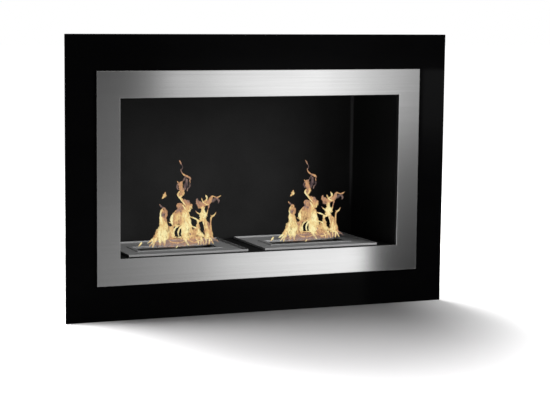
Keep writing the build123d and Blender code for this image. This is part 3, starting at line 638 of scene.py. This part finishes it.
    (6, 0.8, 0.85, [(34, 12, 3.5, 0.5), (44, 18, 5, 0.5), (56, 19, 4.5, 0.6), (68, 17, 4, 0.7)]),
    (2, 0.8, 0.9, [(44, 32, 4, 0.55), (49, 38, 3.6, 0.6), (53, 42, 3, 0.7)]),
    (-6, 0.6, 0.9, [(35.5, 30.5, 1, 0.3), (37.8, 27.6, 1.7, 0.22), (39.6, 24.6, 0.9, 0.3)]),
    # right fire: two strands, knot, trunk, crown
    (0, 0.8, 0.95, [
        (58, 26, 5.5, 0.8), (57, 34, 5.5, 0.75), (56.4, 42, 4.2, 0.75), (55.6, 49, 3.2, 0.8),
        (56.6, 55, 2.4, 0.9), (61, 57, 2, 0.95),
    ]),
    (0, 0.8, 0.95, [
        (79, 14, 6.5, 0.85), (78.4, 24, 7, 0.85), (78, 34, 5.6, 0.75), (76.6, 43, 4.6, 0.7),
        (74.2, 51, 4.4, 0.65), (71, 58, 4.6, 0.7), (67, 65, 4, 0.8),
    ]),
    (-5, 0.6, 0.95, [(72.6, 35, 1, 0.7), (72, 42, 1.2, 0.75), (70, 49, 1.2, 0.8), (68, 55, 1.2, 0.9)]),
    (4, 0.8, 0.85, [
        (84, 16, 4, 0.6), (84, 28, 4.2, 0.55), (83, 38, 3.8, 0.5), (81, 48, 3, 0.45),
        (78, 55, 1.5, 0.4),
    ]),
    (-4, 0.7, 1.0, [
        (35.5, 68, 1, 0.5), (39.5, 65.6, 1.4, 0.7), (45.5, 63.6, 1.6, 0.9), (52, 60.6, 2, 0.95),
        (56.6, 56.8, 2.2, 0.9), (62, 56.4, 2.2, 0.8), (66, 60, 2, 0.7),
    ]),
    (0, 0.9, 1.0, [
        (64, 55, 3.5, 0.7), (66, 60, 6, 0.8), (68, 66, 8.8, 0.9), (68.6, 73, 6.6, 0.95),
        (68, 79, 4.6, 0.9), (67.4, 85, 4.4, 0.85), (67, 90, 3.6, 0.6),
    ]),
    (-3, 0.7, 0.95, [(74, 70, 2, 0.85), (78.6, 65.6, 1.2, 0.8)]),
    (-3, 0.7, 0.95, [
        (64, 70, 2, 0.85), (59, 72, 1.6, 0.85), (55, 74.4, 1.3, 0.7), (52, 77, 1, 0.5),
        (50, 80.4, 0.6, 0.35),
    ]),
    (-2, 0.6, 0.85, [
        (72, 66, 2, 0.8), (76.4, 69, 1.8, 0.8), (78.6, 75, 1.3, 0.7), (80.6, 82, 1.3, 0.45),
        (82.6, 89, 1.8, 0.35), (83, 94, 1.4, 0.3),
    ]),
    (3, 0.7, 0.85, [
        (63, 85, 3.4, 0.45), (58.6, 90, 4.4, 0.42), (56, 96, 4.6, 0.38), (54, 102, 3.6, 0.35),
        (53, 107, 1.4, 0.3),
    ]),
    (-3, 0.6, 0.85, [
        (56.4, 91, 1, 0.5), (53.4, 97, 1.3, 0.5), (52.6, 103, 1.1, 0.45), (55, 107, 0.8, 0.3),
    ]),
    (2, 0.7, 0.9, [
        (64, 87, 4, 0.45), (69, 91, 4.6, 0.48), (76, 93.4, 4, 0.5), (82.6, 96.6, 4, 0.5),
        (87, 102, 3.4, 0.52), (89.6, 107.4, 2.4, 0.5), (92, 110, 1, 0.45),
    ]),
    (-3, 0.6, 1.0, [
        (64.4, 108, 0.7, 0.6), (65.8, 103.6, 1.5, 0.85), (68.6, 98.6, 1.6, 0.9), (73, 94.4, 1.6, 0.8),
        (79, 91.6, 1.5, 0.65), (84, 93, 1, 0.5),
    ]),
    (5, 0.7, 0.85, [
        (60, 101, 3, 0.3), (63, 95, 4.6, 0.42), (70, 94, 6, 0.5), (77, 97, 6, 0.45),
        (82, 102, 4.4, 0.4),
    ]),
    (-3, 0.7, 1.0, [
        (74.2, 114.4, 0.6, 0.7), (76, 111, 1.7, 0.9), (78, 107, 2.2, 0.95), (76.6, 102.6, 2, 0.8),
        (72, 99.8, 1.4, 0.7), (68.6, 99, 0.8, 0.6),
    ]),
    (0, 0.7, 0.95, [
        (80, 97, 2.4, 0.5), (84, 102, 3, 0.5), (87.6, 107.6, 2.4, 0.5), (91.6, 110.4, 1.9, 0.65),
        (96, 109, 1.3, 0.6), (102, 107.4, 1.3, 0.5), (107, 108.6, 1.6, 0.6), (112.6, 111.6, 0.7, 0.6),
    ]),
    (2, 0.6, 0.75, [
        (101, 107, 1.6, 0.35), (104, 103.6, 2.8, 0.25), (106.4, 98.4, 2.2, 0.2), (104.4, 93, 0.8, 0.2),
    ]),
    (3, 0.6, 0.6, [(86, 98, 3, 0.3), (92, 101, 4.6, 0.18), (98, 104, 3.6, 0.15), (102, 106, 1, 0.2)]),
    (1, 0.7, 0.95, [
        (94, 14, 2, 0.5), (90.4, 20, 2.8, 0.6), (88, 29, 3.2, 0.65), (87, 40, 2.6, 0.6),
        (86.8, 51, 2, 0.55), (88, 61, 1.7, 0.6), (91, 65, 2, 0.7), (95.6, 67.6, 1.9, 0.75),
        (98.6, 71.4, 1.3, 0.6), (100.4, 75, 0.5, 0.4),
    ]),
    (-2, 0.6, 0.85, [(92, 65.6, 1.4, 0.7), (89, 66, 1.1, 0.6), (87, 68.8, 0.5, 0.5)]),
    # its roots
    (-18, 0.8, 0.95, [(65, 20, 2.4, 0.9), (64.4, 12, 1.8, 0.9), (63.4, 7, 1.5, 0.8), (62.8, 2, 0.8, 0.6)]),
    (-18, 0.8, 0.95, [(66, 16, 1.8, 0.85), (69, 10, 1.5, 0.85), (70.6, 5, 1.2, 0.8), (71.6, 1, 0.7, 0.6)]),
    (-18, 0.8, 0.95, [
        (84, 19, 2.4, 0.9), (85, 12, 1.9, 0.95), (84.4, 7, 1.6, 0.85), (83.6, 1.5, 0.8, 0.6),
    ]),
    (-16, 0.8, 0.95, [(84, 18, 2, 0.9), (88.4, 14, 1.5, 0.95), (91.4, 8, 1.3, 0.9), (95, 2, 0.7, 0.6)]),
    (-12, 0.7, 0.85, [
        (70, 16.6, 1.2, 0.85), (77, 18, 1.4, 0.9), (84, 17, 1.4, 0.9), (90, 17.6, 1, 0.6),
        (97, 15, 0.6, 0.4),
    ]),
    (-14, 0.7, 0.8, [(52, 20, 1.6, 0.7), (56, 15, 1.5, 0.7), (59, 11, 0.8, 0.5)]),
    # roots of the central tongue
    (-16, 0.8, 0.95, [
        (24, 22, 4, 0.9), (25.6, 15, 3, 0.95), (29, 9.6, 2.4, 0.95), (33, 4.6, 1.8, 0.95),
        (35.6, 2.4, 0.9, 0.8),
    ]),
    (-14, 0.8, 0.9, [(31, 20, 3.4, 0.8), (35, 14.6, 3, 0.6), (39.4, 11, 2.4, 0.55), (42, 8, 1, 0.45)]),
    (-20, 0.7, 0.8, [
        (30, 7.4, 1, 0.4), (25, 8, 1.3, 0.35), (22.8, 5.4, 1.2, 0.3), (25, 2.4, 1.2, 0.35),
        (28.6, 2.6, 0.8, 0.4),
    ]),
    (-10, 0.7, 0.8, [(14, 21, 1.4, 0.6), (19, 17, 1.6, 0.5), (24, 14, 1.4, 0.5)]),
    # thin haze over the whole slot, and its lit lower edge
    (-16, 1.0, 0.50, [
        (-62, 9, 2, 0.3), (-46, 9.4, 6, 0.28), (-20, 9.6, 7, 0.26), (8, 9.4, 7, 0.25), (36, 9, 7, 0.27),
        (64, 8.4, 6.5, 0.3), (92, 8, 3, 0.3),
    ]),
    (8, 1.0, 0.5, [
        (-50, 12, 4, 0.3), (-24, 13, 8, 0.3), (0, 13.6, 9, 0.34), (24, 13, 9, 0.42), (52, 12, 9, 0.42),
        (80, 11, 8, 0.35), (100, 11, 4, 0.25),
    ]),
    (-4, 1.0, 0.35, [
        (-40, 8, 4, 0.3), (-10, 9, 9, 0.26), (20, 10, 10, 0.3), (50, 11, 10, 0.36), (80, 10, 8, 0.36),
    ]),
    (-25, 0.7, 0.8, [
        (-14, 17, 0.8, 0.5), (-6, 12, 1.4, 0.55), (6, 9.6, 1.6, 0.5), (18, 10.4, 1.2, 0.6),
        (25, 13, 0.8, 0.7),
    ]),
    (-25, 0.7, 0.8, [(38, 13, 1, 0.6), (46, 9, 1.5, 0.55), (54, 9.4, 1.5, 0.6), (62, 13, 1.2, 0.7)]),
    (-25, 0.7, 0.9, [(52, 17, 1, 0.8), (57, 10, 1.3, 0.85), (58, 5, 1.1, 0.7), (56.6, 1.6, 0.5, 0.5)]),
    (-25, 0.7, 0.9, [(75, 17, 1, 0.8), (77, 10, 1.3, 0.85), (76, 5, 1.0, 0.7), (75, 2, 0.5, 0.5)]),
    (-22, 0.8, 0.6, [
        (-46, 2.8, 0.4, 0.35), (-30, 2.4, 0.9, 0.35), (-8, 2.0, 1.0, 0.35), (14, 1.6, 0.9, 0.35),
        (22, 1.6, 0.4, 0.35),
    ]),
    (-8, 0.8, 0.7, [
        (-18, 17.6, 0.8, 0.4), (-8, 18.6, 1.5, 0.5), (4, 18.4, 1.6, 0.55), (16, 18.4, 1.2, 0.5),
    ]),
    (-12, 0.8, 0.6, [(38, 5, 0.8, 0.4), (50, 8, 1.4, 0.4), (60, 13, 1.2, 0.5)]),
    (6, 0.7, 0.5, [(88, 20, 1, 0.4), (96, 15, 1.6, 0.35), (104, 9, 1.4, 0.3), (108, 5, 0.6, 0.2)]),
    # sparks
    (-20, 0.8, 0.95, [
        (-86, 6, 0.5, 0.8), (-82, 10, 1.7, 0.9), (-79, 13.6, 1.9, 0.9), (-77.6, 16, 0.5, 0.8),
    ]),
    (-26, 0.8, 0.95, [(3.6, -2.6, 0.4, 0.9), (6.4, 0.6, 1.3, 0.95), (9, 3.8, 0.6, 0.9)]),
)
# How each fire differs from the tongues as written: its shift to the right in millimetres, its
# width, its lean to the right, its height, and how much it rises to the right.
FIRE_SHAPES = {"left": (0, 0.99, 0, 1.018, 0.008), "right": (-3, 0.967, -0.035, 0.975, 0.03)}


def fire(side):
    """All the tongues of one burner's fire in one mesh, over the middle of its slot."""
    low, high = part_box(f"burner_plate_{side}")
    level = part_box(f"slot_frame_{side}")[0].z
    middle = np.array([(low.x + high.x) / 2, (low.y + high.y) / 2, level])
    shift, width, lean, height, rise = FIRE_SHAPES[side]
    points, heats, cores, faces, count = [], [], [], [], 0
    for depth, flatness, clear, path in FIRE:
        path = [
            (shift + width * x + lean * z, height * z + rise * x, half, heat) for x, z, half, heat in path
        ]
        rings, heat, core = tongue(path, depth, flatness, clear)
        places, sides, ends = capped_tube(rings)
        points.append(places * MM + middle)
        heats.append(heat)
        cores.append(core)
        faces += (sides + count).tolist() + (ends + count).tolist()
        count += len(places)
    flame = smooth_mesh(f"flame_{side}", np.concatenate(points), faces, FLAME)
    for label, values in (("warmth", heats), ("core", cores)):
        made = flame.data.attributes.new(label, "FLOAT", "POINT")
        made.data.foreach_set("value", np.concatenate(values).astype(np.float32))
    for rays in ("diffuse", "glossy", "shadow"):
        setattr(flame, f"visible_{rays}", False)
    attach(flame, f"burner_{side}")
    return flame


for side in SIDES:
    flame = fire(side)
    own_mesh(flame)


# ================================================================ ceramic wool in the tanks
WOOL_ROWS = 46
WOOL_COLUMNS = 160
WOOL_CORNERS = 0.22  # power of the outline's cosine and sine: the lower, the squarer
WOOL_SIDES = 0.25  # the same for the reach of the profile
WOOL_TOP = 0.35  # and for its rise
WOOL_WIDTH = 0.985  # of the solid's own width and depth
WOOL_HEIGHT = 0.93
WOOL_WAVES = 0.0007
POLE = 0.02  # angle at which the profile ends short of its poles


def signed_power(values, power):
    return np.sign(values) * np.abs(values) ** power


def wool_pad(side):
    """The wool that fills a tank's lower half: a superellipse outline carried up a rounded
    profile, with its top raised and sunk by a few crossed waves of unequal length."""
    low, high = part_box(f"fibre_pad_{side}")
    middle = (low + high) / 2
    half = (high - low) / 2
    turn = np.linspace(0, 2 * math.pi, WOOL_COLUMNS, endpoint=False)
    climb = np.linspace(POLE, math.pi - POLE, WOOL_ROWS)
    reach = signed_power(np.sin(climb), WOOL_SIDES)
    rise = signed_power(-np.cos(climb), WOOL_TOP)
    x = half.x * WOOL_WIDTH * reach[:, None] * signed_power(np.cos(turn), WOOL_CORNERS)
    y = half.y * WOOL_WIDTH * reach[:, None] * signed_power(np.sin(turn), WOOL_CORNERS)
    waves = (
        np.sin(95 * x + 40 * y + 0.6) * np.cos(150 * y - 30 * x)
        + 0.6 * np.sin(230 * x - 90 * y + 1.9)
        + 0.5 * np.cos(310 * y + 120 * x + 0.4)
    )
    on_top = rise[:, None] > 0.5
    z = half.z * WOOL_HEIGHT * rise[:, None] + WOOL_WAVES * waves * on_top
    rings = np.stack([middle.x + x, middle.y + y, middle.z + z], axis=-1)
    points, sides, ends = capped_tube(rings)
    pad = smooth_mesh(f"wool_{side}", points, sides.tolist() + ends.tolist(), FINISHES["ceramic_fibre"])
    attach(pad, f"burner_{side}")
    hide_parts(f"fibre_pad_{side}")
    return pad


for side in SIDES:
    wool_pad(side)


# ================================================================ floor and studio
def show_to(thing, *rays):
    """Keeps a studio card or lamp out of every kind of ray but the named ones."""
    for kind in ("camera", "diffuse", "glossy", "transmission", "volume_scatter", "shadow"):
        setattr(thing, f"visible_{kind}", kind in rays)


def background_rays(finish):
    """One for the rays that see the background itself: the camera's, mirrored and passed-through."""
    path = finish.node("ShaderNodeLightPath")
    seen = finish.larger_of(path.outputs["Is Camera Ray"], path.outputs["Is Glossy Ray"])
    return finish.larger_of(seen, path.outputs["Is Transmission Ray"])


def flat_card(name, corners, finish):
    mesh = bpy.data.meshes.new(name)
    mesh.from_pydata(corners, [], [(0, 1, 2, 3)])
    mesh.materials.append(finish.material)
    card = bpy.data.objects.new(name, mesh)
    bpy.context.scene.collection.objects.link(card)
    return card


def upright_card(name, low, high, y, finish):
    """A flat card that faces the fireplace's front, from its low (x, z) corner to its high one."""
    (left, foot), (right, top) = low, high
    return flat_card(name, [(left, y, foot), (right, y, foot), (right, y, top), (left, y, top)], finish)


OVAL_MIDDLE = (0.01, -0.05)
OVAL_SHAPE = 0.43  # width of the oval over its depth
OVAL_START, OVAL_END = 0.29, 0.68
FLOOR_COLOUR = (0.80, 0.79, 0.795, 1)


def white_floor():
    """A pale floor that keeps the shadow near the fireplace. Outside an oval round the shadow
    it turns plain white, as the background is, to the camera and in what lets light through."""
    finish = Finish("floor_white")
    away = finish.node("ShaderNodeVectorMath", operation="DISTANCE")
    finish.put(away.inputs[0], finish.stretched(1.0, OVAL_SHAPE, 1.0))
    finish.put(away.inputs[1], (OVAL_MIDDLE[0], OVAL_MIDDLE[1] * OVAL_SHAPE, FLOOR_Z))
    far = finish.node("ShaderNodeMapRange", interpolation_type="SMOOTHSTEP")
    finish.put(far.inputs["Value"], away.outputs["Value"])
    finish.put(far.inputs["From Min"], OVAL_START)
    finish.put(far.inputs["From Max"], OVAL_END)
    pale = finish.node("ShaderNodeBsdfDiffuse")
    finish.put(pale.inputs["Color"], FLOOR_COLOUR)
    finish.end_in(pale, finish.glow(WHITE, finish.product_of(background_rays(finish), far.outputs[0])))
    return finish


def studio_floor():
    half = FLOOR_SIZE / 2
    corners = [(x, y, FLOOR_Z) for x, y in ((-half, -half), (half, -half), (half, half), (-half, half))]
    floor = flat_card("studio_floor", corners, white_floor())
    floor.visible_glossy = False


CARD_Y = -0.75
CARD_LOW, CARD_HIGH = (-2.2, -1.5), (2.6, 1.4)
CARD_START, CARD_END = -0.30, 0.90  # places across the card between which its levels change
# What the trim mirrors at its foot, half way up and at its top: (height, ((place across the
# card, level), ...)). The places and levels come from readings of the photo's brightness along
# the trim, carried to the card and then corrected.
CARD_ROWS = (
    (-0.394, (
        (CARD_START, 0.24), (-0.15, 0.34), (-0.04, 0.44), (0.03, 0.58), (0.10, 0.92), (0.22, 1.22),
        (0.36, 1.47), (0.43, 1.58), (0.465, 1.54), (0.485, 1.30), (0.500, 0.45), (0.515, 0.12),
        (0.54, 0.07), (0.64, 0.05), (CARD_END, 0.04),
    )),
    (-0.14, (
        (CARD_START, 0.14), (-0.18, 0.175), (0.0, 0.35), (0.50, 0.42), (0.565, 0.21), (0.60, 0.18),
        (CARD_END, 0.15),
    )),
    (0.069, (
        (CARD_START, 0.12), (-0.20, 0.14), (-0.155, 0.16), (-0.104, 0.30), (-0.04, 0.75), (0.026, 0.92),
        (0.092, 1.20), (0.158, 1.38), (0.30, 1.51), (0.364, 1.51), (0.434, 1.28), (0.505, 0.96),
        (0.545, 0.87), (0.61, 0.62), (0.68, 0.48), (CARD_END, 0.25),
    )),
)
CARD_EDGES = (-0.46, -0.43, 0.115, 0.140)  # where the light fades in and out, from the foot up
CARD_BEYOND = 0.60  # share of the light that is left past them
# A lamp that only the strip of glass right of the trim mirrors: its sides, and levels up it.
STRIP_LAMP = (0.645, 0.655, 0.78, 0.80)
STRIP_LEVELS = ((-0.20, 0.0), (-0.10, 0.25), (-0.03, 0.8), (0.095, 1.0), (0.105, 0.0))
STRIP_POWER = 3.0
STRIP_GAP = 0.001  # how far it stands in front of the card


def soft_light_card():
    """The soft lights and dark flags in front of the glass, as the polished parts mirror them:
    three rows of levels across the card, blended up its height."""
    finish = Finish("soft_light_card")
    place = finish.split_place()
    across = finish.spread(place["X"], CARD_START, CARD_END, 0.0, 1.0)
    height = place["Z"]
    rows = []
    for level, stops in CARD_ROWS:
        brightest = max(light for x, light in stops)
        band = [((x - CARD_START) / (CARD_END - CARD_START), grey(light / brightest)) for x, light in stops]
        rows.append((level, finish.product_of(finish.ramp(across, *band), brightest)))
    (foot, foot_light), (middle, middle_light), (top, top_light) = rows
    lower = finish.blended(finish.spread(height, foot, middle, 0, 1), foot_light, middle_light)
    light = finish.blended(finish.spread(height, middle, top, 0, 1), lower, top_light)
    below, foot_edge, top_edge, above = CARD_EDGES
    fade = finish.product_of(
        finish.spread(height, below, foot_edge, CARD_BEYOND, 1),
        finish.spread(height, top_edge, above, 1, CARD_BEYOND),
    )
    finish.end_in(finish.glow(light, fade))
    show_to(upright_card("soft_light_card", CARD_LOW, CARD_HIGH, CARD_Y, finish), "glossy")


def glass_lamp():
    """A bright strip just in front of the card, that the glass alone mirrors. All other rays
    pass through it to the card."""
    finish = Finish("glass_lamp")
    place = finish.split_place()
    low, high = STRIP_LEVELS[0][0], STRIP_LEVELS[-1][0]
    band = [((z - low) / (high - low), grey(level)) for z, level in STRIP_LEVELS]
    levels = finish.ramp(finish.spread(place["Z"], low, high, 0, 1), *band)
    start, full, fading, end = STRIP_LAMP
    power = finish.product_of(
        finish.spread(place["X"], start, full, 0, STRIP_POWER), finish.spread(place["X"], fading, end, 1, 0)
    )
    finish.end_in(finish.glow(levels, power), finish.node("ShaderNodeBsdfTransparent"))
    card = upright_card("glass_lamp", (start, low), (end, high), CARD_Y + STRIP_GAP, finish)
    show_to(card, "glossy")
    light_only(card, [frame["nodes"]["glass_front"]])


def studio_sky():
    """White to the camera and in mirrors, and an even soft light to everything else."""
    world = bpy.data.worlds.new("studio_sky")
    bpy.context.scene.world = world
    world.use_nodes = True
    tree = world.node_tree
    path = tree.nodes.new("ShaderNodeLightPath")
    seen = path.outputs["Is Diffuse Ray"]
    level = tree.nodes.new("ShaderNodeMapRange")
    level.inputs["To Min"].default_value = 1.0
    level.inputs["To Max"].default_value = SKY_LEVEL
    tree.links.new(seen, level.inputs["Value"])
    shade = tree.nodes["Background"]
    tree.links.new(level.outputs["Result"], shade.inputs["Strength"])
    shade.inputs["Color"].default_value = WHITE


def softbox(name, place, aim, width, height, power, spread=180):
    """An area lamp that is left out of the picture and of what polished parts mirror."""
    light = bpy.data.lights.new(name, "AREA")
    light.shape = "RECTANGLE"
    light.size = width
    light.size_y = height
    light.energy = power
    light.spread = math.radians(spread)
    lamp = bpy.data.objects.new(name, light)
    lamp.location = place
    lamp.rotation_euler = (Vector(aim) - Vector(place)).to_track_quat("-Z", "Y").to_euler()
    bpy.context.scene.collection.objects.link(lamp)
    show_to(lamp, "diffuse", "transmission", "volume_scatter", "shadow")
    return lamp


def light_only(lamp, things):
    """Makes a lamp or a glowing card light these things and nothing else."""
    lit = bpy.data.collections.new(f"lit_by_{lamp.name}")
    for thing in things:
        lit.objects.link(thing)
    lamp.light_linking.receiver_collection = lit


studio_floor()
studio_sky()
soft_light_card()
glass_lamp()
softbox(
    "key_light", place=(-0.763, 0.84, 1.274), aim=(0.1, -0.5, -0.415), width=3.23, height=0.65, power=160
)
hearth_light = softbox(
    "hearth_light", place=(1.42, -2.05, 0.60), aim=(-0.06, -0.12, -0.16), width=1.15, height=2.2, power=38,
    spread=120,
)
light_only(hearth_light, list(frame["nodes"].values()))


# ================================================================ camera
def photo_camera():
    """A level camera turned by its yaw, tipped by its pitch and rolled, as the picture was taken."""
    yaw, pitch, roll = (math.radians(a) for a in (CAMERA_YAW, CAMERA_PITCH, CAMERA_ROLL))
    forward = Vector(
        (math.sin(yaw) * math.cos(pitch), math.cos(yaw) * math.cos(pitch), -math.sin(pitch))
    )
    level = Vector((math.cos(yaw), -math.sin(yaw), 0))
    upright = level.cross(forward)
    right = math.cos(roll) * level + math.sin(roll) * upright
    up = math.cos(roll) * upright - math.sin(roll) * level
    data = bpy.data.cameras.new("camera")
    data.sensor_width = SENSOR_WIDTH
    data.lens = FOCAL_PIXELS * SENSOR_WIDTH / PICTURE_WIDTH
    camera = bpy.data.objects.new("camera", data)
    turn = Matrix((right, up, -forward)).transposed()
    camera.matrix_world = Matrix.Translation(CAMERA_PLACE) @ turn.to_4x4()
    bpy.context.scene.collection.objects.link(camera)
    bpy.context.scene.camera = camera


photo_camera()
bpy.context.scene.view_settings.view_transform = "Standard"
